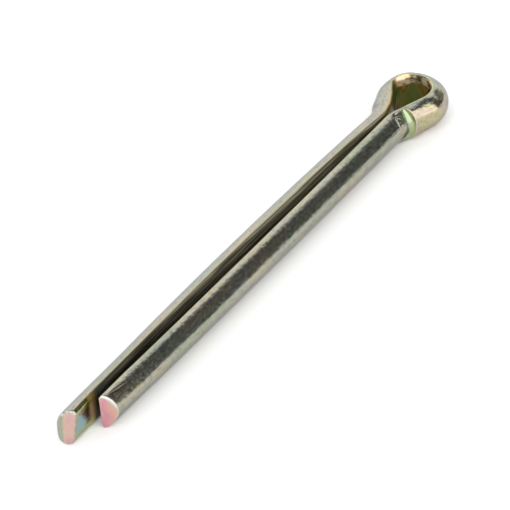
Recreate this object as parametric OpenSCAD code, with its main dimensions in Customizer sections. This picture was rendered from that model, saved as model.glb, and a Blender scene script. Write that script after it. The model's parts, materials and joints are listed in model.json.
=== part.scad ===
// Cotter pin: one length of half-round wire folded flat side in, with a teardrop eye, two
// parallel prongs that make up a slotted round shank, and one prong longer than the other.
// The pin lies on its side. X runs from the eye to the prong ends, Y is across the slot and
// Z is up. The origin is on the shank's axis at the neck, where the eye ends.

/* [Shank] */
// Diameter of the round shank, measured across both prongs
shank_d = 5.8; // [4.5:0.1:8]
// Width of the slot between the flat sides of the two prongs
slot_w = 1.1; // [0.7:0.1:1.5]
// Radius of the two rounded corners of the half-round wire
corner_r = 0.38; // [0.2:0.02:0.5]
// Length of the shank from the neck to the end of the short prong, along its flat side
shank_l = 71; // [30:1:120]
// How far the long prong reaches past the short one
prong_extra = 4.4; // [2:0.2:6]

/* [Eye] */
// Diameter of the round part of the hole in the eye
eye_hole_d = 5.9; // [5.2:0.1:8]
// Length of each straight side of the eye, between its neck and the round of the eye
eye_side_l = 5.2; // [3:0.1:8]
// Radius of the inward bend on the outside of each neck
neck_bend_r = 0.95; // [0.6:0.05:2]
// How much thinner all round the wire gets where it is bent
bend_thinning = 0.02; // [0.01:0.005:0.05]

/* [Closing die marks] */
// Radius of the die nose that pinched each neck
nick_r = 1.4; // [1:0.05:1.7]
// How far the middle of the mark lies from the neck, towards the eye
nick_from_neck = 1.2; // [0.9:0.05:1.4]
// How far the mark reaches in past the round of the shank
nick_depth = 0.03; // [0.01:0.01:0.1]

/* [Prong ends] */
// Slant of the parallel cuts that end both prongs, in degrees from a square cut
end_slant = 30; // [0:1:35]
// Slant of the bevel on the outer edge of the long prong's end, in degrees from a square cut
long_bevel_slant = 50; // [30:1:60]
// Width of that bevel, measured across the prong
long_bevel_w = 0.7; // [0.3:0.1:1.2]

/* [Hidden] */
$fn = 96;

shank_r = shank_d / 2;
flat_y = slot_w / 2;
wire_t = shank_r - flat_y;
hole_r = eye_hole_d / 2;
// Radius of the neck bend, measured to the flat side of the wire
neck_flat_r = neck_bend_r + wire_t;
neck_y = flat_y + neck_flat_r;

// The corner arc stands a little proud of the flat and of the round side, so it meets them at an edge
corner_lip = 0.02;
corner_in = corner_r - corner_lip;
corner_y = sqrt(pow(shank_r - corner_in, 2) - pow(flat_y + corner_in, 2));
corner_way = [flat_y + corner_in, corner_y] / (shank_r - corner_in);

// How far each neck turns its prong out, so that the round of the eye is centred on the shank's axis
eye_span_r = neck_flat_r + hole_r;
neck_turn = acos(neck_y / norm([eye_span_r, eye_side_l])) - atan2(eye_side_l, eye_span_r);
eye_angle = 90 - neck_turn;
eye_x = -eye_span_r * sin(neck_turn) - eye_side_l * cos(neck_turn);

// Length of the long prong along its flat side
long_l = shank_l + prong_extra;
// What each prong has over before its end is cut
end_spare = wire_t;
// Where the bevel on the long prong's end begins
bevel_y = shank_r - long_bevel_w;
bevel_x = long_l + (bevel_y - flat_y) * tan(end_slant);

// Each bent stretch runs on by this angle into the straight ones at its ends
bend_overlap = 3;

// What rounds one corner of the wire section
module corner_waste(shrink) {
    difference() {
        polygon([
            [corner_in, corner_y],
            [-shank_r, corner_y],
            [-shank_r, corner_y + shank_r],
            [corner_in, corner_y] + shank_r * corner_way
        ]);
        translate([corner_in, corner_y])
            circle(r = corner_r - shrink);
    }
}

// Half-round wire section: flat side on the Y axis, round side towards +X
module wire_section(shrink = 0) {
    difference() {
        intersection() {
            translate([-flat_y, 0])
                circle(r = shank_r - shrink);
            translate([shrink, -shank_r])
                square([shank_r, shank_d]);
        }
        corner_waste(shrink);
        mirror([0, 1])
            corner_waste(shrink);
    }
}

// One straight prong on the +Y side, not yet cut at its end
module prong(length) {
    translate([0, flat_y, 0])
        rotate([90, 0, 90])
            linear_extrude(length + end_spare)
                wire_section();
}

// The bend that turns one prong out into the side of the eye
module neck_bend() {
    translate([0, neck_y, 0])
        rotate_extrude(angle = neck_turn + 2 * bend_overlap, start = 270 - neck_turn - bend_overlap)
            translate([neck_flat_r, 0])
                mirror([1, 0])
                    wire_section(bend_thinning);
}

// The straight side between the neck and the round of the eye
module eye_side() {
    translate([eye_x, 0, 0])
        rotate([0, 0, eye_angle])
            translate([hole_r, 0, 0])
                rotate([90, 0, 0])
                    linear_extrude(eye_side_l)
                        wire_section();
}

// The round of the eye, wrapped round the hole
module eye_round() {
    translate([eye_x, 0, 0])
        rotate_extrude(
            angle = 360 - 2 * eye_angle + 2 * bend_overlap,
            start = eye_angle - bend_overlap
        )
            translate([hole_r, 0])
                wire_section(bend_thinning);
}

// What the closing die pressed away across the outside of the +Y neck
module die_nick() {
    translate([-nick_from_neck, shank_r - nick_depth + nick_r, -shank_d])
        cylinder(r = nick_r, h = 2 * shank_d);
}

// What a slanted cut takes off a prong on the +Y side, from a point on its end outwards
module end_waste(end_x, from_y, slant) {
    translate([end_x, from_y, -shank_d])
        rotate([0, 0, slant])
            translate([0, -shank_d, 0])
                cube([shank_d, 3 * shank_d, 2 * shank_d]);
}

// Short prong on the +Y side, shorter on its round side
module short_prong() {
    difference() {
        prong(shank_l);
        end_waste(shank_l, flat_y, end_slant);
    }
}

// Long prong, made on the +Y side, longer on its round side but for the bevel on its outer edge
module long_prong() {
    difference() {
        prong(long_l);
        end_waste(long_l, flat_y, -end_slant);
        end_waste(bevel_x, bevel_y, long_bevel_slant);
    }
}

// One neck and one straight side of the eye, on the +Y side
module half_eye() {
    neck_bend();
    eye_side();
}

// The whole wire, folded at the eye
module folded_wire() {
    eye_round();
    half_eye();
    short_prong();
    mirror([0, 1, 0]) {
        half_eye();
        long_prong();
    }
}

module cotter_pin() {
    color("#8f8a66")
        difference() {
            folded_wire();
            die_nick();
            mirror([0, 1, 0])
                die_nick();
        }
}

cotter_pin();
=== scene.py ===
import json
import math

import bpy
import numpy as np
from mathutils import Matrix, Vector


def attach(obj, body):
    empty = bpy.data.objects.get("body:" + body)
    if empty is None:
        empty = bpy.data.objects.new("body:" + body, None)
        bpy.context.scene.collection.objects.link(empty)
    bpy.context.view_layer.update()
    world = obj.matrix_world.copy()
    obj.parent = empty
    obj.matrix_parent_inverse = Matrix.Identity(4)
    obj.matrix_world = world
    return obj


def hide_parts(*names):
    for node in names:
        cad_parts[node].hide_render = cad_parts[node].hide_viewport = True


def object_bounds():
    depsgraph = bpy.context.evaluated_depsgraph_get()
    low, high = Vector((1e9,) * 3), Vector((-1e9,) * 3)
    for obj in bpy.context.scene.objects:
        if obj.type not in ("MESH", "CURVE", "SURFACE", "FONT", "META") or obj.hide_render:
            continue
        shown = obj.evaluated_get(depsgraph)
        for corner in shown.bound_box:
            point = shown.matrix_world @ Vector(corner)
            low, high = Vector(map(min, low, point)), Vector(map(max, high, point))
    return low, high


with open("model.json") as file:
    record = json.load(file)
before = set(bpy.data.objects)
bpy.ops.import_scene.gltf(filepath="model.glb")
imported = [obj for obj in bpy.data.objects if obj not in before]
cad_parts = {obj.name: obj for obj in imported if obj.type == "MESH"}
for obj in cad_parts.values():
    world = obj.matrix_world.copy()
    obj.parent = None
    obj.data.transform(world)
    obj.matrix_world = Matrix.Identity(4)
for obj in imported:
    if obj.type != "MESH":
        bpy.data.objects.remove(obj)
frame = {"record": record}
cad_low, cad_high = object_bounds()

# Lengths below are in millimetres in the part's own frame, and MM turns them into metres
MM = 0.001
shank_mount = next(m for m in frame["record"]["mounts"] if m["name"] == "shank")
SHANK_R = shank_mount["dims"]["r_mm"]
LONG_PRONG_L = shank_mount["dims"]["length_mm"]
SHORT_PRONG_L = 71.0
EYE_OUT_R = cad_high.y / MM

# Wire section: flat side at w = 0, round side towards +w, z up
SLOT_W = 1.1
CORNER_R = 0.38
FLAT_Y = SLOT_W / 2
WIRE_T = SHANK_R - FLAT_Y
FLAT_POINTS = 15
CORNER_POINTS = 9
ROUND_POINTS = 61
# Where the points of the round side start and stop in a section
ROUND_FROM = FLAT_POINTS + CORNER_POINTS - 1
ROUND_TO = ROUND_FROM + ROUND_POINTS - 2

# Fold at the eye, and the points along each of its stretches
HOLE_R = EYE_OUT_R - WIRE_T
NECK_BEND_R = 0.95
NECK_FLAT_R = NECK_BEND_R + WIRE_T
EYE_X = cad_low.x / MM + EYE_OUT_R
NECK_POINTS = 20
EYE_SIDE_POINTS = 62
EYE_ROUND_POINTS = 60

# How the prongs of this pin stand apart: each bows out along its length and sways at its end. The last two
# are shares of the long prong's length: the bow sets in over the first of them, and the sway starts at
# the second
LONG_BOW = 0.77
SHORT_BOW = 0.2
LONG_SWAY = 0.3
SHORT_SWAY = -0.2
BOW_START = 0.06
SWAY_START = 0.8

# Spacing of the sections along a prong, closest near its end and its neck
TIP_ZONE_L = 10.0
TIP_SPACING = 0.22
NECK_ZONE_L = 3.0
NECK_SPACING = 0.1
MIDDLE_POINTS = 70

# How the wire's section changes along it: the short prong's shoulders are rubbed flatter and its flat is
# worn back at its tip, the eye is a little squarer, and the long prong's half of the wire is thicker, with
# rounder corners and a leaning flat. The four tables give millimetres at distances past the prong's neck,
# and the skew moves the eye's shoulders towards the corners
PRONG_SHOULDER = -0.13
TIP_WEAR = 0.2
TIP_WEAR_L = 7.0
EYE_BLEND_L = 3.0
EYE_SHOULDER = {-9: -0.1, -6.5: -0.01, -4: 0.13}
EYE_SHOULDER_SKEW = 1.67
EYE_CROWN = -0.03
LONG_FLAT_W = {-12: 0.0, -7.6: -0.15, -5: -0.6, -2.5: -0.82, 0: -0.56, 4: -0.42,
               66: -0.36, 75: -0.35}
LONG_CORNER_R = {-12.2: CORNER_R, -11: 0.2, -8.5: 0.2, -6: 0.5, 0: 0.6, 60: 0.65, 75: 0.75}
LONG_LEAN = {-9: 0, -4: 0.2, 0: 0.15, 6: 0.05, 60: 0.05, 75: 0.2}

# The long prong's half stays just lower than the solid's top, and turns smoothly into that height
TOP_SPARE = 0.01
TOP_Z = cad_high.z / MM - TOP_SPARE
TOP_BLEND = 0.06

# Worn chamfer on the inner upper edge of the long prong near its tip: which way it faces in w and z, its
# depth, and where past the neck it starts and is full
TIP_CHAMFER_WAY = (-0.766, 0.643)
TIP_CHAMFER = 0.09
TIP_CHAMFER_ZONE = (52.0, 66.0)
TIP_CHAMFER_BLEND = 0.02

# Flare of the hole's upper edge at the long prong's side of the eye, and where past the neck it grows from
# nothing to the full, seen from either end
FLARE_W = 0.5
FLARE_H = 1.3
FLARE_FAR_END = (-12.2, -9.7)
FLARE_NEAR_END = (-6.5, -8.5)

# Mark of the die that closed each neck: it left the prong's own round, up to a hollow edge towards the eye
DIE_REACH = 1.8
DIE_CURVE = 0.09
DIE_LEAN = 0.08
DIE_EDGE_R = 0.8
DIE_EDGE_TAPER = 0.1
DIE_EDGE_LEAST_R = 0.2
DIE_DEPTH = 0.03
DIE_BLEND = 0.04
# How steeply the die stands off from the wire past its hollow edge
DIE_BODY_SLOPE = 9
# Stretch of X in which the die sets in, and the one in which it can touch the wire at all
DIE_START = (0.8, -0.8)
DIE_ZONE = (-6.0, 1.0)
# Where past the neck the prong has the plain round that the die follows
PLAIN_PRONG_AT = 4.0
# Shares of the way round the section at which the mark begins and is full, from the top and from below
DIE_TOP = (1.0, 0.75)
DIE_BOTTOM = (-0.9, -0.4)
LONG_DIE_SHARE = 0.4
# The die's reach is looked for as far as this outside the wire, by this many halvings
DIE_SEARCH = 1.5
DIE_HALVINGS = 30
# Lip raised by the die, and the share of the hollow edge over which it sets in
LIP_H = 0.05
LIP_W = 0.08
LIP_START = 0.1
# What is coloured as the mark: the least share of it, the depth and the shares of the hollow edge
MARK_LEAST_SHARE = 0.6
MARK_DEPTH = 0.1
MARK_EDGE = (0.1, 0.35)

# Prong ends: parallel slanted cuts, with a rounded outer edge on the long prong's end
END_SLANT = math.tan(math.radians(30))
BEVEL_SLANT = math.tan(math.radians(50))
BEVEL_W = 0.56
BEVEL_BLEND = 0.7
LONG_END_TILT = 0.12
# Distances from the flat at which the long prong's cut face has ended and is still whole
LONG_FACE_EDGE = (1.26, 0.96)
# Rounding of the upper edge and of the others, and how far up a normal points where one becomes the other
TOP_EDGE = 0.32
SHARP_EDGE = 0.07
TOP_EDGE_WAYS = (0.05, 0.45)
EDGE_STEPS = 6
# How far from an end the sections still follow its slant
END_REACH = 9.0

# What is marked at each point of the pin: the cut faces and their rounded edges, the die's hollow edge from
# its prong side to its eye side, the lip it raised, and the flat side of the wire
MARKS = ("end_face", "end_edge", "die_mark", "die_lip", "inner_side")
# How far inwards a normal points where the flat side begins and where it is whole
INNER_WAYS = (-0.15, -0.75)

# Sizes of patterns below run along the wire, across it and up. Four numbers give where a band starts, is
# full, starts to fade and ends, and two give where a change starts and where it is complete

# Tones of the passivated zinc, from bluish through olive and cream to pinkish
PLATING = {0.28: (0.34, 0.38, 0.355), 0.4: (0.355, 0.385, 0.29), 0.52: (0.39, 0.385, 0.325),
           0.62: (0.43, 0.405, 0.29), 0.74: (0.43, 0.37, 0.35)}
PLATING_SIZE = (11.0, 3.0, 3.0)
STREAKS = {0.3: (0.86, 0.85, 0.84), 0.5: (0.97, 0.97, 0.97), 0.7: (1.0, 1.0, 1.0)}
STREAK_SIZE = (16.0, 0.22, 0.22)
SPECKS = {0.34: (0.78, 0.79, 0.83), 0.46: (0.95, 0.95, 0.95), 0.56: (1.0, 1.0, 1.0)}
SPECK_SIZE = (0.55, 0.36, 0.36)

# Warmer tones outside on the eye, below its top: distances from the short prong's neck into the eye, how far
# before the middle of the eye they start to fade, and heights
EYE_TONES = {0.3: (0.40, 0.43, 0.24), 0.42: (0.47, 0.45, 0.26), 0.52: (0.50, 0.44, 0.28),
             0.62: (0.51, 0.41, 0.31), 0.74: (0.45, 0.42, 0.34)}
EYE_MOTTLE_SIZE = (1.8, 1.3, 1.3)
EYE_TONES_START = (2.0, 4.0)
EYE_TONES_FADE_L = 6.0
EYE_TONES_TOP = (2.5, 2.0)

# Rounded corners of the wire, between its flat and its round side, in yellowish tones that partly paint the
# highlight along them
SHORT_CORNER_AND_HIGHLIGHT = (0.53, 0.47, 0.20, 1.0)
LONG_CORNER_AND_HIGHLIGHT = (0.44, 0.37, 0.25, 1.0)
CORNER_BAND = (0.0, 0.3, 0.3, 0.75)
# Length over which a tone of the short half of the wire turns into that of the long half
HALVES_BLEND_L = 2.0

# Dull stains on the flat side along the slot, in dark tones that paint the shade between the prongs, with
# painted shade darker lower down, and darker towards the end of the long prong
SLOT_STAINS_AND_SHADE = {0.34: (0.08, 0.066, 0.04), 0.5: (0.16, 0.145, 0.095), 0.62: (0.34, 0.33, 0.23)}
SLOT_SIZE = (10.0, 0.3, 0.3)
SLOT_SHADE = {0.3: (0.22, 0.16, 0.11), 0.75: (0.7, 0.68, 0.65), 1.0: (1.0, 1.0, 1.0)}
SLOT_HEIGHTS = (-2.5, 2.5)
SLOT_DIM_L = (4.0, 48.0)
SLOT_DIM_SHARES = (0.2, 1.0)
SLOT_DULL = 0.75

# Stains on the flat side in the eye, in dark tones that paint the shade inside the hole. The eye's flat side
# starts and is full at these distances past the necks
EYE_INSIDE = (1.0, -1.5)
HOLE_STAINS_AND_SHADE = {0.28: (0.03, 0.045, 0.012), 0.38: (0.09, 0.13, 0.025), 0.47: (0.16, 0.16, 0.025),
              0.55: (0.17, 0.09, 0.01), 0.63: (0.27, 0.2, 0.025), 0.76: (0.04, 0.035, 0.012)}
HOLE_SIZE = (2.2, 2.0, 5.0)
HOLE_DULL = 0.5

# Scratched upper rim of the hole, by distances past the middle of the eye and heights. Its tones are bright
# on the flare, where they partly paint a highlight, and elsewhere dark with pale flecks, thickest at a place
# towards the short prong
RIM_BAND = (-3.5, -2.5, 3.5, 4.5)
RIM_HEIGHTS = (1.1, 1.45)
SCRATCH_SIZE = (1.2, 0.6, 0.6)
RIM_TONES = {0.36: (0.34, 0.29, 0.12), 0.44: (0.76, 0.62, 0.3), 0.5: (0.84, 0.64, 0.44),
             0.55: (0.82, 0.56, 0.52), 0.6: (0.72, 0.6, 0.28), 0.66: (0.2, 0.16, 0.09)}
RIM_FLARED = (1.5, 2.1)
FLECK_TONES = {0.46: (0.09, 0.075, 0.05), 0.55: (0.34, 0.29, 0.16), 0.63: (0.74, 0.65, 0.42)}
FLECKS_AT = -0.5
FLECKS_FADE = (0.3, 1.0)
FLECKS_MORE = 0.1

# Stain on the flat side at the end of the long prong, by distances from that end: where it starts and is
# full, and where the dull film on it starts to go and is gone
TIP_TONES = {0.0: (0.40, 0.42, 0.32), 0.08: (0.36, 0.43, 0.34), 0.2: (0.30, 0.46, 0.49),
             0.38: (0.29, 0.44, 0.46), 0.46: (0.28, 0.34, 0.22), 0.54: (0.26, 0.18, 0.13),
             0.72: (0.35, 0.22, 0.09), 1.0: (0.22, 0.15, 0.07)}
TIP_RIM_TONES = {0.0: (0.42, 0.42, 0.27), 0.45: (0.40, 0.43, 0.22), 0.6: (0.33, 0.36, 0.1),
                 0.8: (0.22, 0.14, 0.03)}
TIP_STAIN_L = 6.0
TIP_STAIN = (TIP_STAIN_L, 4.0)
TIP_BARE = (4.5, 3.0)
TIP_RIM_HEIGHTS = (1.0, 1.6)
TIP_WAVER_SIZE = (2.5, 1.5, 1.5)
TIP_WAVER_RANGE = (0.25, 0.75)
# How far the tones of this stain and of the cut ends waver, as a share of the way across them
WAVER = 0.12

# Cut ends and their rounded edges, widest at the top, in a pale grey that partly paints the highlight along
# them and is broken on the long prong
CUT_TONES = {0.02: (0.70, 0.40, 0.29), 0.12: (0.65, 0.35, 0.33), 0.28: (0.61, 0.28, 0.35),
             0.55: (0.65, 0.34, 0.34), 0.8: (0.66, 0.40, 0.31)}
PALE_CUT_TONES = {0.3: (0.57, 0.32, 0.35), 0.45: (0.60, 0.37, 0.36), 0.55: (0.58, 0.40, 0.31),
                  0.7: (0.57, 0.46, 0.42)}
CUT_SIZE = (1.4, 1.1, 1.6)
CUT_WAVER_RANGE = (0.3, 0.7)
END_EDGE_HIGHLIGHT = (0.55, 0.55, 0.52, 1.0)
BREAK_SIZE = (0.6, 0.6, 0.6)
BREAK_RANGE = (0.46, 0.56)

# Die mark, and its lip in a pale pinkish tone that partly paints the highlight along its ridge
DIE_TONES = {0.0: (0.46, 0.41, 0.35), 0.12: (0.30, 0.39, 0.34), 0.3: (0.29, 0.42, 0.33),
             0.6: (0.39, 0.46, 0.27), 1.0: (0.44, 0.47, 0.25)}
DIE_FADE = (0.0, 0.1)
DIE_LIP_HIGHLIGHT = (0.56, 0.49, 0.46, 1.0)
LIP_FADE = (0.05, 0.5)

# Scuffed patch beside the die mark on the short prong, by distances from its neck into the eye and angles
# round the prong. It is dark with bright flecks that partly paint glints
SCUFF_AND_GLINT_TONES = {0.35: (0.05, 0.05, 0.04), 0.55: (0.16, 0.16, 0.13), 0.68: (0.7, 0.7, 0.66)}
SCUFF_SIZE = (0.3, 0.22, 0.22)
SCUFF_BAND = (0.4, 1.1, 1.8, 2.1)
SCUFF_ANGLES = (0.3, 0.5, 0.85, 1.0)

# Lens-shaped scrape near the end of the short prong: its start and length, its angle round the prong and
# how that turns, its width, and its fill and outline by shares of the half width
DRAG_START = 1.5
DRAG_L = 3.5
DRAG_ANGLE = 1.03
DRAG_TURN = 0.16
DRAG_W = 0.34
DRAG_LEAST_W = 0.001
DRAG_INSIDE = (0.75, 0.5)
DRAG_OUTLINE = (0.5, 0.75, 1.1, 1.4)
DRAG_FILL = (0.26, 0.215, 0.16, 1.0)
DRAG_LINE = (0.12, 0.10, 0.09, 1.0)
DRAG_DULL = 0.45

# Relief, each bump with its depth in metres and its strength, and gloss, which varies with the grain
LINE_SIZE = (9.0, 0.12, 0.12)
LINE_BUMP = (0.02 * MM, 0.3)
GRAIN_SIZE = (0.5, 0.33, 0.33)
GRAIN_BUMP = (0.03 * MM, 0.9)
SCUFF_BUMP = (0.2 * MM, 1.0)
GRAIN_RANGE = (0.3, 0.7)
ROUGHNESS = (0.12, 0.22)
EDGE_TINT = (0.72, 0.71, 0.77, 1.0)

# Floor
FLOOR_W = 3000.0
FLOOR_X = 30.0
FLOOR_TONE = (0.9, 0.9, 0.9, 1.0)
FLOOR_GLOW = 0.08

# Studio lights: the level way from the back light to the front one, the strengths of both and of the dim
# strip between them, and where along that way each light changes to the strip
LIGHTS_WAY = (0.787, 0.617, 0.0)
BACK_LIGHT = 1.45
STRIP_LIGHT = 0.12
FRONT_LIGHT = 1.8
BACK_EDGE = (-0.3, -0.18)
FRONT_EDGE = (0.11, 0.21)
# What is left of the back light beyond the eye, and the directions where that is
BEYOND_EYE_SHARE = 0.2
BEYOND_EYE_X = (-0.7, -0.78)
BEYOND_EYE_Y = (0.06, 0.2)

# Camera: focal length in pixels of a square picture, place, and the directions of the picture
PICTURE_W = 510
FOCAL_PIXELS = 6072.4
SENSOR_W = 36.0
CAMERA_AT = (555.74, 416.40, 510.59)
CAMERA_RIGHT = (-0.55999073, 0.82275186, -0.09741541)
CAMERA_UP = (-0.54753137, -0.2792707, 0.7888075)
CAMERA_FORWARD = (-0.62178757, -0.49506288, -0.60687146)
CLIP_NEAR = 10.0
CLIP_FAR = 10000.0


def smooth_step(value, start, stop):
    """Nought at the start and before it, one at the stop and past it, with a smooth change between."""
    share = np.clip((value - start) / (stop - start), 0, 1)
    return share * share * (3 - 2 * share)


def soft_min(a, b, blend):
    """Smaller of two values, with a rounded change from one to the other."""
    return (a + b - np.sqrt((a - b) ** 2 + blend ** 2)) / 2


def arc(centre, radius, start, end, count):
    """Points of an arc and the directions out of its centre."""
    angles = np.linspace(start, end, count)
    ways = np.column_stack([np.cos(angles), np.sin(angles)])
    return np.asarray(centre) + radius * ways, ways


def at(table, place):
    """Value of a table of places and values, between its entries."""
    return float(np.interp(place, list(table), list(table.values())))


def wire_section(flat_w, corner_r):
    """Points round the half-round section, from the top of the flat down and round, with their normals
    and their share of the way round the round side, from -1 at the bottom to 1 at the top."""
    corner_w = flat_w + corner_r
    corner_z = math.sqrt((SHANK_R - corner_r) ** 2 - (FLAT_Y + corner_w) ** 2)
    round_end = math.atan2(corner_z, FLAT_Y + corner_w)

    flat_z = np.linspace(corner_z, -corner_z, FLAT_POINTS)
    flat = np.column_stack([np.full(FLAT_POINTS, flat_w), flat_z])
    flat_ways = np.tile([-1.0, 0.0], (FLAT_POINTS, 1))
    low, low_ways = arc([corner_w, -corner_z], corner_r, math.pi, 2 * math.pi - round_end, CORNER_POINTS)
    outer, outer_ways = arc([-FLAT_Y, 0], SHANK_R, -round_end, round_end, ROUND_POINTS)
    high, high_ways = arc([corner_w, corner_z], corner_r, round_end, math.pi, CORNER_POINTS)

    points = np.vstack([flat, low[1:], outer[1:-1], high[:-1]])
    ways = np.vstack([flat_ways, low_ways[1:], outer_ways[1:-1], high_ways[:-1]])
    turn = np.ones(len(points))
    turn[:ROUND_FROM] = -1
    turn[ROUND_FROM:ROUND_TO] = np.linspace(-1, 1, ROUND_POINTS)[1:-1]
    return points, ways, turn


def eye_swell(turn, past_neck):
    """How much further out than a plain round the eye's wire reaches."""
    shoulder = at(EYE_SHOULDER, past_neck) * np.sin(math.pi * np.abs(turn) ** EYE_SHOULDER_SKEW) ** 2
    return shoulder + EYE_CROWN * np.cos(math.pi * turn / 2) ** 2


def short_half(past_neck):
    """Section of the short prong's half of the wire at a distance past its neck, as wire_section gives it."""
    points, ways, turn = wire_section(0.0, CORNER_R)
    on_eye = smooth_step(past_neck, 0.0, -EYE_BLEND_L)
    rubbed = PRONG_SHOULDER * np.sin(math.pi * turn) ** 2
    swell = on_eye * eye_swell(turn, past_neck) + (1 - on_eye) * rubbed
    shape = points + ways * swell[:, None]
    wear = TIP_WEAR * smooth_step(past_neck, SHORT_PRONG_L - TIP_WEAR_L, SHORT_PRONG_L)
    shape[:, 0] = wear + shape[:, 0] * (WIRE_T - wear) / WIRE_T
    return shape, ways, turn


def flared(shape, flat_w, past_neck):
    """Section with its flat leaning, and flared at the hole's upper edge."""
    w, z = shape.T
    inside = smooth_step(w, WIRE_T, flat_w)
    on_flare = smooth_step(past_neck, *FLARE_FAR_END) * smooth_step(past_neck, *FLARE_NEAR_END)
    lift = np.clip((z - (z.max() - FLARE_H)) / FLARE_H, 0, 1)
    flare = FLARE_W * on_flare * lift ** 2
    lean = at(LONG_LEAN, past_neck) / SHANK_R * z
    return np.column_stack([w + (flare - lean) * inside, z])


def chamfered(shape, past_neck):
    """Section with the worn chamfer of the long prong's tip."""
    cut = TIP_CHAMFER * smooth_step(past_neck, *TIP_CHAMFER_ZONE)
    if cut == 0:
        return shape
    reach = shape @ TIP_CHAMFER_WAY
    over = reach - soft_min(reach, reach.max() - cut, TIP_CHAMFER_BLEND)
    return shape - np.outer(over, TIP_CHAMFER_WAY)


def long_half(past_neck):
    """Section of the long prong's half of the wire at a distance past its neck, as wire_section gives it."""
    flat_w = at(LONG_FLAT_W, past_neck)
    points, ways, turn = wire_section(flat_w, at(LONG_CORNER_R, past_neck))
    on_eye = smooth_step(past_neck, 0.0, -EYE_BLEND_L)
    shape = points + ways * (on_eye * eye_swell(turn, past_neck))[:, None]
    shape = chamfered(flared(shape, flat_w, past_neck), past_neck)
    w, z = shape.T
    return np.column_stack([w, np.sign(z) * soft_min(np.abs(z), TOP_Z, TOP_BLEND)]), ways, turn


def prong_places(length):
    """Places along a prong from its end to the neck, closest at both ends."""
    tip = np.arange(0, TIP_ZONE_L, TIP_SPACING)
    neck = length - np.arange(0, NECK_ZONE_L, NECK_SPACING)[::-1]
    middle = np.linspace(TIP_ZONE_L, neck[0], MIDDLE_POINTS)[:-1]
    return length - np.concatenate([tip, middle, neck])


def prong_line(length, bow, sway):
    """Flat side of a prong on the +Y side, from its end to the neck, with a bow that is widest half way."""
    x = prong_places(length)
    t = x / LONG_PRONG_L
    bowed = bow * 4 * t * (1 - t) * smooth_step(t, 0.0, BOW_START)
    return np.column_stack([x, FLAT_Y + bowed + sway * smooth_step(t, SWAY_START, 1.0)])


def half_eye_line():
    """Flat side of the +Y half of the eye, from the neck to the far end of the hole."""
    neck_centre = np.array([0.0, FLAT_Y + NECK_FLAT_R])
    to_neck = neck_centre - np.array([EYE_X, 0.0])
    spread = np.linalg.norm(to_neck)
    eye_angle = math.atan2(to_neck[1], to_neck[0]) + math.acos((HOLE_R + NECK_FLAT_R) / spread)
    neck, _ = arc(neck_centre, NECK_FLAT_R, 1.5 * math.pi, eye_angle + math.pi, NECK_POINTS)
    bend, _ = arc([EYE_X, 0.0], HOLE_R, eye_angle, math.pi, EYE_ROUND_POINTS)
    shares = np.linspace(0, 1, EYE_SIDE_POINTS)[1:-1, None]
    side = neck[-1] + (bend[0] - neck[-1]) * shares
    return np.vstack([neck, side, bend])


def wire_line():
    """Flat side of the whole wire, from the short prong's end round the eye to the long prong's end."""
    mirror = np.array([1.0, -1.0])
    short = prong_line(SHORT_PRONG_L, SHORT_BOW, SHORT_SWAY)
    long = prong_line(LONG_PRONG_L, LONG_BOW, LONG_SWAY) * mirror
    eye = half_eye_line()
    other = (eye * mirror)[::-1]
    return np.vstack([short[:-1], eye, other[1:], long[::-1][1:]])


def end_back(shape, is_long):
    """How far behind the prong's nominal end its end face lies, at points of its section."""
    w, z = shape.T
    if not is_long:
        return w * END_SLANT
    bevel_from = WIRE_T - BEVEL_W
    bevel = (w - bevel_from) * BEVEL_SLANT - bevel_from * END_SLANT
    return LONG_END_TILT * z - soft_min(w * END_SLANT, -bevel, BEVEL_BLEND)


def die_edge(z):
    """Where the die's hollow edge starts in X at a height, and its radius there."""
    return -DIE_REACH - DIE_LEAN * z - DIE_CURVE * z ** 2, DIE_EDGE_R - DIE_EDGE_TAPER * z ** 2


def die_overlap(x, y, z, prong_r):
    """How far a point of the +Y half lies inside the closing die."""
    edge_x, edge_r = die_edge(z)
    edge_r = np.maximum(edge_r, DIE_EDGE_LEAST_R)
    past_edge = (edge_x - x) / edge_r
    rise = edge_r * (1 - np.sqrt(1 - np.clip(past_edge, 0, 1) ** 2))
    rise += DIE_BODY_SLOPE * np.maximum(past_edge - 1, 0)
    return np.hypot(y, z) - prong_r + DIE_DEPTH * smooth_step(x, *DIE_START) - rise


def die_limit(shape, base, out, prong):
    """How far from the flat the die let each point of a section reach."""
    side = 1 if base[1] > 0 else -1
    z = shape[:, 1]
    around = prong[ROUND_FROM:ROUND_TO]
    prong_angle = np.arctan2(around[:, 1], around[:, 0] + FLAT_Y)
    prong_r = np.hypot(around[:, 1], around[:, 0] + FLAT_Y)
    low = np.zeros(len(shape))
    high = shape[:, 0] + DIE_SEARCH
    for _ in range(DIE_HALVINGS):
        middle = (low + high) / 2
        x = base[0] + middle * out[0]
        y = side * (base[1] + middle * out[1])
        radius = np.interp(np.arctan2(z, y), prong_angle, prong_r)
        inside = die_overlap(x, y, z, radius) > 0
        high = np.where(inside, middle, high)
        low = np.where(inside, low, middle)
    return low


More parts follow.
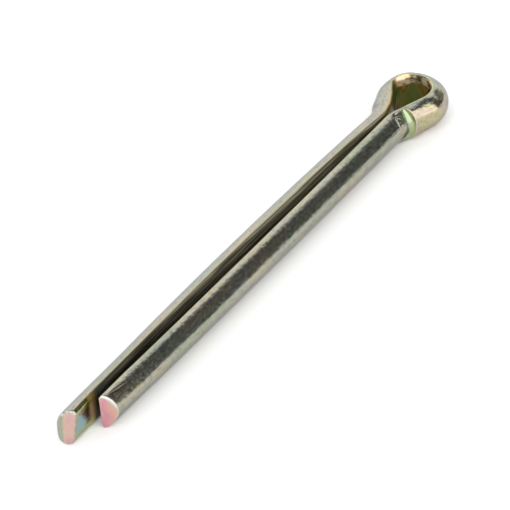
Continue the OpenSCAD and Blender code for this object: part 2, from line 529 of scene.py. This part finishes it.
def press_die(shape, base, out, prong, turn):
    """Section at one place of the wire with the die's mark and lip pressed in, and the shares of both."""
    if not DIE_ZONE[0] <= base[0] <= DIE_ZONE[1]:
        return shape, 0.0, 0.0
    w, z = shape.T
    limit = die_limit(shape, base, out, prong)
    pressed = soft_min(w, limit, DIE_BLEND * smooth_step(base[0], *DIE_START))
    edge_x, edge_r = die_edge(z)
    past_edge = (edge_x - base[0] - out[0] * pressed) / edge_r
    lip = np.exp(-((limit - w - LIP_W) / LIP_W) ** 2) * smooth_step(past_edge, 0.0, LIP_START)
    share = smooth_step(turn, *DIE_TOP) * smooth_step(turn, *DIE_BOTTOM)
    if base[1] < 0:
        share = share * LONG_DIE_SHARE
    made = np.column_stack([w + (pressed + LIP_H * lip - w) * share, z])
    seen = share > MARK_LEAST_SHARE
    mark = smooth_step(w - limit, 0.0, MARK_DEPTH) * smooth_step(past_edge, *MARK_EDGE) * seen
    return made, mark * np.clip(past_edge, MARK_EDGE[0], 1), lip * seen


def end_rings(section, ways, is_long):
    """Sections round the rounded edge of an end, from its face out, with how far back each point lies."""
    top = smooth_step(ways[:, 1], *TOP_EDGE_WAYS)
    rounding = SHARP_EDGE + (TOP_EDGE - SHARP_EDGE) * top
    found = []
    for angle in np.linspace(0, math.pi / 2, EDGE_STEPS):
        shape = section - ways * (rounding * (1 - math.sin(angle)))[:, None]
        back = end_back(shape, is_long) + rounding * (1 - math.cos(angle))
        found.append((shape, back))
    return found


def face_share(w, is_long):
    """Share of the cut face at a distance w from the flat, which the long prong's rounded edge leaves."""
    if not is_long:
        return np.ones(len(w))
    return smooth_step(w, *LONG_FACE_EDGE)


class Fold:
    """Line of the wire's flat side, with its outward directions and the distances along it."""

    def __init__(self):
        self.line = wire_line()
        ahead = np.gradient(self.line, axis=0)
        ahead /= np.linalg.norm(ahead, axis=1)[:, None]
        self.out = np.column_stack([ahead[:, 1], -ahead[:, 0]])
        self.out[0] = (0, 1)
        self.out[-1] = (0, -1)
        steps = np.linalg.norm(np.diff(self.line, axis=0), axis=1)
        self.along = np.concatenate([[0], np.cumsum(steps)])
        self.length = self.along[-1]
        self.last = len(self.line) - 1

    def is_long(self, index):
        return index > len(self.line) // 2

    def section(self, index):
        """Section at one point of the line, before the die marks it."""
        if self.is_long(index):
            return long_half(self.along[index] - (self.length - LONG_PRONG_L))
        return short_half(SHORT_PRONG_L - self.along[index])

    def end_sections(self, index):
        """Sections round the edge of the end at one point of the line, as end_rings gives them."""
        shape, ways, _ = self.section(index)
        return end_rings(shape, ways, self.is_long(index))

    def places(self, index, back):
        """Distances along the wire of points that lie back from a section towards the eye."""
        return self.along[index] + (-back if self.is_long(index) else back)


class WireMesh:
    """Points and faces of the pin, with each point's place on the straightened wire."""

    def __init__(self, fold):
        self.fold = fold
        self.points, self.places, self.faces = [], [], []
        self.marks = {name: [] for name in MARKS}

    def add_points(self, index, shape, back, **marks):
        """Points in the section plane at one point of the fold, each moved back from it."""
        first = len(self.points)
        xy = self.fold.line[index] + np.outer(shape[:, 0], self.fold.out[index])
        xy[:, 0] -= back
        place = np.broadcast_to(self.fold.places(index, back), len(shape))
        self.points.extend(np.column_stack([xy, shape[:, 1]]))
        self.places.extend(np.column_stack([place, shape]))
        for name, found in self.marks.items():
            found.extend(np.broadcast_to(marks.get(name, 0.0), len(shape)))
        return list(range(first, first + len(shape)))

    def join(self, ring, other):
        count = len(ring)
        for k in range(count):
            n = (k + 1) % count
            self.faces.append((ring[k], other[k], other[n], ring[n]))

    def close(self, ring, rows, flip):
        """Face of an end, in rows across the prong from its flat edge to the top of the round."""
        lines = [ring[:FLAT_POINTS]] + rows
        found = []
        for line, after in zip(lines, lines[1:]):
            for c in range(FLAT_POINTS - 1):
                found.append((line[c], after[c], after[c + 1], line[c + 1]))
        top = ring[FLAT_POINTS - 1 + len(lines)]
        for c in range(FLAT_POINTS - 1):
            found.append((lines[-1][c], top, lines[-1][c + 1]))
        self.faces.extend(face[::-1] if flip else face for face in found)


def close_end(mesh, index, ring, shape):
    """Fills one end inside its innermost ring."""
    is_long = mesh.fold.is_long(index)
    rows = []
    count = len(shape)
    half = (count - FLAT_POINTS) // 2
    for r in range(1, half + 1):
        low = FLAT_POINTS - 1 + r
        high = count - r
        shares = np.linspace(0, 1, FLAT_POINTS)[1:-1, None]
        inner = shape[high] + (shape[low] - shape[high]) * shares
        cap = face_share(inner[:, 0], is_long)
        added = mesh.add_points(index, inner, end_back(inner, is_long), end_face=cap)
        rows.append([ring[high]] + added + [ring[low]])
    mesh.close(ring, rows, flip=not is_long)


def add_end(mesh, index):
    """Adds one end of the wire, and gives the rings round its edge from the face out."""
    rings = []
    found = mesh.fold.end_sections(index)
    for step, (shape, back) in enumerate(found):
        cap = face_share(shape[:, 0], mesh.fold.is_long(index)) * (step == 0)
        edge = float(0 < step < EDGE_STEPS - 1)
        rings.append(mesh.add_points(index, shape, back, end_face=cap, end_edge=edge))
    close_end(mesh, index, rings[0], found[0][0])
    return rings


def build_pin():
    """The pin as one closed mesh, and the length of its wire."""
    fold = Fold()
    mesh = WireMesh(fold)
    prongs = short_half(PLAIN_PRONG_AT)[0], long_half(PLAIN_PRONG_AT)[0]
    end_backs = [fold.end_sections(index)[-1][1] for index in (0, fold.last)]
    rings = add_end(mesh, 0)
    for i in range(1, fold.last):
        is_long = fold.is_long(i)
        from_end = fold.length - fold.along[i] if is_long else fold.along[i]
        back = end_backs[is_long] * smooth_step(from_end, END_REACH, 0.0)
        section, ways, turn = fold.section(i)
        shape, mark, lip = press_die(section, fold.line[i], fold.out[i], prongs[is_long], turn)
        inner = smooth_step(ways[:, 0], *INNER_WAYS)
        rings.append(mesh.add_points(i, shape, back, die_mark=mark, die_lip=lip, inner_side=inner))
    rings.extend(add_end(mesh, fold.last)[::-1])
    for ring, other in zip(rings, rings[1:]):
        mesh.join(ring, other)
    return make_object(mesh), fold.length


def make_object(wire):
    mesh = bpy.data.meshes.new("pin_wire")
    mesh.from_pydata((np.array(wire.points) * MM).tolist(), [], wire.faces)
    mesh.update()
    places = mesh.attributes.new("wire_co", "FLOAT_VECTOR", "POINT")
    places.data.foreach_set("vector", np.array(wire.places, dtype=np.float32).ravel())
    for name, values in wire.marks.items():
        layer = mesh.attributes.new(name, "FLOAT", "POINT")
        layer.data.foreach_set("value", np.array(values, dtype=np.float32))
    mesh.polygons.foreach_set("use_smooth", [True] * len(mesh.polygons))
    pin = bpy.data.objects.new("pin_wire", mesh)
    bpy.context.scene.collection.objects.link(pin)
    return pin


class Shading:
    """Nodes of one material or of the world, with a short call for each kind."""

    def __init__(self, owner):
        owner.use_nodes = True
        self.nodes = owner.node_tree.nodes
        self.links = owner.node_tree.links

    def plug(self, socket, value):
        if isinstance(value, bpy.types.NodeSocket):
            self.links.new(value, socket)
        else:
            socket.default_value = value

    def attribute(self, name, output):
        node = self.nodes.new("ShaderNodeAttribute")
        node.attribute_name = name
        return node.outputs[output]

    def parts(self, vector):
        node = self.nodes.new("ShaderNodeSeparateXYZ")
        self.plug(node.inputs[0], vector)
        return node.outputs

    def vectors(self, operation, a, b, output):
        node = self.nodes.new("ShaderNodeVectorMath")
        node.operation = operation
        self.plug(node.inputs[0], a)
        self.plug(node.inputs[1], b)
        return node.outputs[output]

    def noise(self, where, size, detail=2.0):
        node = self.nodes.new("ShaderNodeTexNoise")
        self.plug(node.inputs["Vector"], self.vectors("DIVIDE", where, size, "Vector"))
        self.plug(node.inputs["Scale"], 1.0)
        self.plug(node.inputs["Detail"], detail)
        return node.outputs[0]

    def math(self, operation, a, b=0.0):
        node = self.nodes.new("ShaderNodeMath")
        node.operation = operation
        self.plug(node.inputs[0], a)
        self.plug(node.inputs[1], b)
        return node.outputs[0]

    def remap(self, value, low, high, to_low=0.0, to_high=1.0):
        """Smooth change from one level to another while the value runs from low to high."""
        node = self.nodes.new("ShaderNodeMapRange")
        node.interpolation_type = "SMOOTHSTEP"
        for name, level in zip(("From Min", "From Max", "To Min", "To Max"), (low, high, to_low, to_high)):
            self.plug(node.inputs[name], level)
        self.plug(node.inputs["Value"], value)
        return node.outputs[0]

    def band(self, value, start, full, fade, end):
        """One where the value lies between full and fade, and nought before the start and past the end."""
        return self.math("MULTIPLY", self.remap(value, start, full), self.remap(value, end, fade))

    def tones(self, value, stops):
        """Colours by value, from a table of places and colours."""
        node = self.nodes.new("ShaderNodeValToRGB")
        elements = node.color_ramp.elements
        while len(elements) < len(stops):
            elements.new(0.5)
        for element, (place, tone) in zip(elements, stops.items()):
            element.position = place
            element.color = (*tone, 1.0)
        self.plug(node.inputs[0], value)
        return node.outputs[0]

    def mix(self, share, a, b, blend="MIX"):
        """Mix of two colours, whose sockets come after those for numbers and vectors."""
        node = self.nodes.new("ShaderNodeMix")
        node.data_type = "RGBA"
        node.blend_type = blend
        self.plug(node.inputs[0], share)
        self.plug(node.inputs[6], a)
        self.plug(node.inputs[7], b)
        return node.outputs[2]

    def bump(self, height, distance, strength, normal=None):
        node = self.nodes.new("ShaderNodeBump")
        self.plug(node.inputs["Strength"], strength)
        self.plug(node.inputs["Distance"], distance)
        self.plug(node.inputs["Height"], height)
        if normal is not None:
            self.plug(node.inputs["Normal"], normal)
        return node.outputs[0]


def eye_middle(wire_l):
    """Distance along the wire to the middle of the eye."""
    return SHORT_PRONG_L + (wire_l - SHORT_PRONG_L - LONG_PRONG_L) / 2


def on_long_half(shading, where, wire_l):
    """Share of the wire's long half, which is nought on the short half."""
    along = shading.parts(where)[0]
    return shading.remap(along, (wire_l - HALVES_BLEND_L) / 2, (wire_l + HALVES_BLEND_L) / 2)


def plated_tones(shading, where, wire_l):
    """Colour of the passivated zinc on the round side of the wire."""
    along, _, height = shading.parts(where)
    tones = shading.tones(shading.noise(where, PLATING_SIZE, detail=3.0), PLATING)
    middle = eye_middle(wire_l)
    starts = [SHORT_PRONG_L + into_eye for into_eye in EYE_TONES_START]
    on_eye = shading.band(along, *starts, middle - EYE_TONES_FADE_L, middle)
    outside = shading.math("MULTIPLY", on_eye, shading.remap(height, *EYE_TONES_TOP))
    mottle = shading.noise(where, EYE_MOTTLE_SIZE, detail=3.0)
    tones = shading.mix(outside, tones, shading.tones(mottle, EYE_TONES))
    streaks = shading.noise(where, STREAK_SIZE)
    tones = shading.mix(1.0, tones, shading.tones(streaks, STREAKS), "MULTIPLY")
    specks = shading.noise(where, SPECK_SIZE)
    return shading.mix(1.0, tones, shading.tones(specks, SPECKS), "MULTIPLY")


def slot_stains_and_shade(shading, where, from_end):
    """Colour of the flat side along the slot: stains in dark tones that paint the shade between the prongs,
    with painted shade lower down, also by the distance from the long prong's end.
    """
    height = shading.parts(where)[2]
    # Stains in dark tones that paint the shade between the prongs
    tones = shading.tones(shading.noise(where, SLOT_SIZE, detail=3.0), SLOT_STAINS_AND_SHADE)
    shade = shading.tones(shading.remap(height, *SLOT_HEIGHTS), SLOT_SHADE)
    tones = shading.mix(1.0, tones, shade, "MULTIPLY")
    return shading.mix(1.0, tones, shading.remap(from_end, *SLOT_DIM_L, *SLOT_DIM_SHARES), "MULTIPLY")


def rim_tones(shading, where, past_middle):
    """Colour of the hole's scratched upper rim, whose bright tones on the flare partly paint a highlight,
    also by the distance past the middle of the eye.
    """
    scratched = shading.noise(where, SCRATCH_SIZE, detail=3.0)
    from_flecks = shading.math("ABSOLUTE", shading.math("SUBTRACT", past_middle, FLECKS_AT))
    more = shading.remap(from_flecks, *FLECKS_FADE, FLECKS_MORE, 0.0)
    flecked = shading.math("ADD", scratched, more)
    flecks = shading.tones(flecked, FLECK_TONES)
    # Bright scratched tones on the flare, partly a painted highlight
    return shading.mix(shading.remap(past_middle, *RIM_FLARED), flecks, shading.tones(scratched, RIM_TONES))


def hole_stains_and_shade(shading, where, past_middle):
    """Colour of the flat side in the eye: stains in dark tones that paint the shade inside the hole, and the
    rim, also by the distance past the middle of the eye.
    """
    height = shading.parts(where)[2]
    # Stains in dark tones that paint the shade inside the hole
    stain = shading.tones(shading.noise(where, HOLE_SIZE, detail=1.5), HOLE_STAINS_AND_SHADE)
    far_side = shading.band(past_middle, *RIM_BAND)
    on_rim = shading.math("MULTIPLY", far_side, shading.remap(height, *RIM_HEIGHTS))
    return shading.mix(on_rim, stain, rim_tones(shading, where, past_middle))


def tip_tones(shading, where, from_end):
    """Colour of the stain on the flat side at the end of the long prong, by the distance from that end."""
    height = shading.parts(where)[2]
    waver = shading.remap(shading.noise(where, TIP_WAVER_SIZE), *TIP_WAVER_RANGE, -WAVER, WAVER)
    place = shading.math("ADD", shading.math("DIVIDE", from_end, TIP_STAIN_L), waver)
    by_edge = shading.remap(shading.math("ABSOLUTE", height), *TIP_RIM_HEIGHTS)
    return shading.mix(by_edge, shading.tones(place, TIP_TONES), shading.tones(place, TIP_RIM_TONES))


def inner_tones(shading, where, wire_l):
    """Colour of the flat side of the wire, with painted shade in the slot and the hole, and the share of it
    that is dull.
    """
    along = shading.parts(where)[0]
    from_end = shading.math("SUBTRACT", wire_l, along)
    past_middle = shading.math("SUBTRACT", along, eye_middle(wire_l))
    half_eye = eye_middle(wire_l) - SHORT_PRONG_L
    inside = [half_eye + past_neck for past_neck in EYE_INSIDE]
    in_eye = shading.remap(shading.math("ABSOLUTE", past_middle), *inside)
    slot = slot_stains_and_shade(shading, where, from_end)
    tones = shading.mix(in_eye, slot, hole_stains_and_shade(shading, where, past_middle))
    on_tip = shading.remap(from_end, *TIP_STAIN)
    tones = shading.mix(on_tip, tones, tip_tones(shading, where, from_end))
    film = shading.remap(in_eye, 0.0, 1.0, SLOT_DULL, HOLE_DULL)
    dull = shading.math("SUBTRACT", film, shading.remap(from_end, *TIP_BARE))
    return tones, shading.math("MAXIMUM", dull, 0.0)


def round_angle(shading, where):
    """Angle round the prong, from its outer side up."""
    _, out, height = shading.parts(where)
    return shading.math("ARCTAN2", height, shading.math("ADD", out, FLAT_Y))


def drag_mark(shading, where):
    """Fill and outline of the lens-shaped scrape near the end of the short prong."""
    along = shading.parts(where)[0]
    share = shading.math("DIVIDE", shading.math("SUBTRACT", along, DRAG_START), DRAG_L)
    centre = shading.math("SUBTRACT", DRAG_ANGLE, shading.math("MULTIPLY", share, DRAG_TURN))
    width = shading.math("MULTIPLY", share, shading.math("SUBTRACT", 1.0, share))
    width = shading.math("MAXIMUM", shading.math("MULTIPLY", width, DRAG_W), DRAG_LEAST_W)
    off = shading.math("ABSOLUTE", shading.math("SUBTRACT", round_angle(shading, where), centre))
    off = shading.math("DIVIDE", off, width)
    return shading.remap(off, *DRAG_INSIDE), shading.band(off, *DRAG_OUTLINE)


def scuff_mark(shading, where):
    """Share of the scuffed patch beside the die's mark on the short prong."""
    into_eye = shading.math("SUBTRACT", shading.parts(where)[0], SHORT_PRONG_L)
    around = shading.band(round_angle(shading, where), *SCUFF_ANGLES)
    return shading.math("MULTIPLY", shading.band(into_eye, *SCUFF_BAND), around)


def die_tones(shading, tones):
    """Colour with the die's mark and its lip, whose pale tone partly paints a highlight."""
    die = shading.attribute("die_mark", "Fac")
    lip = shading.attribute("die_lip", "Fac")
    tones = shading.mix(shading.remap(die, *DIE_FADE), tones, shading.tones(die, DIE_TONES))
    # Pale tone on the lip, partly a painted highlight along its ridge
    return shading.mix(shading.remap(lip, *LIP_FADE), tones, DIE_LIP_HIGHLIGHT)


def end_tones(shading, where, wire_l, tones):
    """Colour with the cut faces and their rounded edges, whose pale grey partly paints a highlight and is
    broken on the long prong, where the faces are paler.
    """
    on_long = on_long_half(shading, where, wire_l)
    broken = shading.remap(shading.noise(where, BREAK_SIZE, detail=1.0), *BREAK_RANGE)
    whole = shading.math("SUBTRACT", 1.0, on_long)
    kept = shading.math("MAXIMUM", broken, whole)
    edge = shading.math("MULTIPLY", shading.attribute("end_edge", "Fac"), kept)
    # Pale grey on the rounded edges, partly a painted highlight
    tones = shading.mix(edge, tones, END_EDGE_HIGHLIGHT)
    mottle = shading.noise(where, CUT_SIZE, detail=3.0)
    waver = shading.remap(mottle, *CUT_WAVER_RANGE, -WAVER, WAVER)
    place = shading.math("ADD", shading.math("DIVIDE", shading.parts(where)[1], WIRE_T), waver)
    cut = shading.mix(on_long, shading.tones(place, CUT_TONES), shading.tones(mottle, PALE_CUT_TONES))
    return shading.mix(shading.attribute("end_face", "Fac"), tones, cut)


def relief(shading, where, grain, scrapes):
    """Normal with the drawn lines, the grain and the scrapes of the scuffed patch."""
    normal = shading.bump(shading.noise(where, LINE_SIZE), *LINE_BUMP)
    normal = shading.bump(grain, *GRAIN_BUMP, normal)
    return shading.bump(scrapes, *SCUFF_BUMP, normal)


def yellow_zinc(wire_l):
    """Material of the pin, with stains, marks, painted shade and painted highlights by each point's place on
    a wire of this length.
    """
    material = bpy.data.materials.new("yellow_zinc")
    shading = Shading(material)
    where = shading.attribute("wire_co", "Vector")
    inner = shading.attribute("inner_side", "Fac")
    flat_tones, flat_dull = inner_tones(shading, where, wire_l)
    tones = shading.mix(inner, plated_tones(shading, where, wire_l), flat_tones)
    # Corner tones, partly a painted highlight along the corners
    corner = shading.mix(on_long_half(shading, where, wire_l), SHORT_CORNER_AND_HIGHLIGHT, LONG_CORNER_AND_HIGHLIGHT)
    tones = shading.mix(shading.band(inner, *CORNER_BAND), tones, corner)
    scuff = scuff_mark(shading, where)
    scraped = shading.noise(where, SCUFF_SIZE)
    # Scuff marks, dark with bright flecks that partly paint glints
    tones = shading.mix(scuff, tones, shading.tones(scraped, SCUFF_AND_GLINT_TONES))
    drag_fill, drag_line = drag_mark(shading, where)
    tones = shading.mix(drag_line, shading.mix(drag_fill, tones, DRAG_FILL), DRAG_LINE)
    tones = end_tones(shading, where, wire_l, die_tones(shading, tones))

    grain = shading.noise(where, GRAIN_SIZE)
    normal = relief(shading, where, grain, shading.math("MULTIPLY", scraped, scuff))
    dull = shading.math("MAXIMUM", shading.math("MULTIPLY", inner, flat_dull),
                        shading.math("MULTIPLY", drag_fill, DRAG_DULL))
    surface = shading.nodes["Principled BSDF"].inputs
    shading.plug(surface["Base Color"], tones)
    shading.plug(surface["Metallic"], shading.math("SUBTRACT", 1.0, dull))
    shading.plug(surface["Specular Tint"], EDGE_TINT)
    shading.plug(surface["Roughness"], shading.remap(grain, *GRAIN_RANGE, *ROUGHNESS))
    shading.plug(surface["Normal"], normal)
    return material


def pale_floor():
    """Pale matt material that glows a little where it is seen straight, in a reflection or through glass."""
    material = bpy.data.materials.new("pale_floor")
    shading = Shading(material)
    shading.nodes.remove(shading.nodes["Principled BSDF"])
    diffuse = shading.nodes.new("ShaderNodeBsdfDiffuse")
    shading.plug(diffuse.inputs["Color"], FLOOR_TONE)
    path = shading.nodes.new("ShaderNodeLightPath").outputs
    seen = shading.math("MAXIMUM", path["Is Camera Ray"], path["Is Glossy Ray"])
    seen = shading.math("MAXIMUM", seen, path["Is Transmission Ray"])
    glow = shading.nodes.new("ShaderNodeEmission")
    shading.plug(glow.inputs["Strength"], shading.math("MULTIPLY", seen, FLOOR_GLOW))
    both = shading.nodes.new("ShaderNodeAddShader")
    shading.plug(both.inputs[0], diffuse.outputs[0])
    shading.plug(both.inputs[1], glow.outputs[0])
    shading.plug(shading.nodes["Material Output"].inputs["Surface"], both.outputs[0])
    return material


def make_floor(height):
    bpy.ops.mesh.primitive_plane_add(size=FLOOR_W * MM, location=(FLOOR_X * MM, 0, height))
    floor = bpy.context.object
    floor.name = "floor"
    floor.data.materials.append(pale_floor())


def make_world():
    """Two wide soft lights, behind and in front of the pin, with a dim strip between them overhead. The
    back light is dimmed beyond the eye."""
    world = bpy.data.worlds.new("studio")
    bpy.context.scene.world = world
    shading = Shading(world)
    way = shading.nodes.new("ShaderNodeTexCoord").outputs["Generated"]
    way_x, way_y, _ = shading.parts(way)
    across = shading.vectors("DOT_PRODUCT", way, LIGHTS_WAY, "Value")
    beyond_eye = shading.math("MULTIPLY", shading.remap(way_x, *BEYOND_EYE_X),
                              shading.remap(way_y, *BEYOND_EYE_Y))
    back = shading.remap(across, *BACK_EDGE, BACK_LIGHT, STRIP_LIGHT)
    back = shading.math("MULTIPLY", back, shading.remap(beyond_eye, 0.0, 1.0, 1.0, BEYOND_EYE_SHARE))
    front = shading.remap(across, *FRONT_EDGE, 0.0, FRONT_LIGHT)
    background = shading.nodes["Background"].inputs
    shading.plug(background["Color"], (1, 1, 1, 1))
    shading.plug(background["Strength"], shading.math("ADD", back, front))


def make_camera():
    data = bpy.data.cameras.new("camera")
    data.sensor_width = SENSOR_W
    data.lens = FOCAL_PIXELS / PICTURE_W * SENSOR_W
    data.clip_start = CLIP_NEAR * MM
    data.clip_end = CLIP_FAR * MM
    camera = bpy.data.objects.new("camera", data)
    bpy.context.scene.collection.objects.link(camera)
    backward = -Vector(CAMERA_FORWARD)
    turn = Matrix((CAMERA_RIGHT, CAMERA_UP, backward)).transposed().to_4x4()
    camera.matrix_world = Matrix.Translation(Vector(CAMERA_AT) * MM) @ turn
    bpy.context.scene.camera = camera


pin, wire_l = build_pin()
pin.data.materials.append(yellow_zinc(wire_l))
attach(pin, "root")
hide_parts("cotter_pin")
make_floor(cad_low.z)
make_world()
make_camera()
bpy.context.scene.view_settings.view_transform = "Standard"
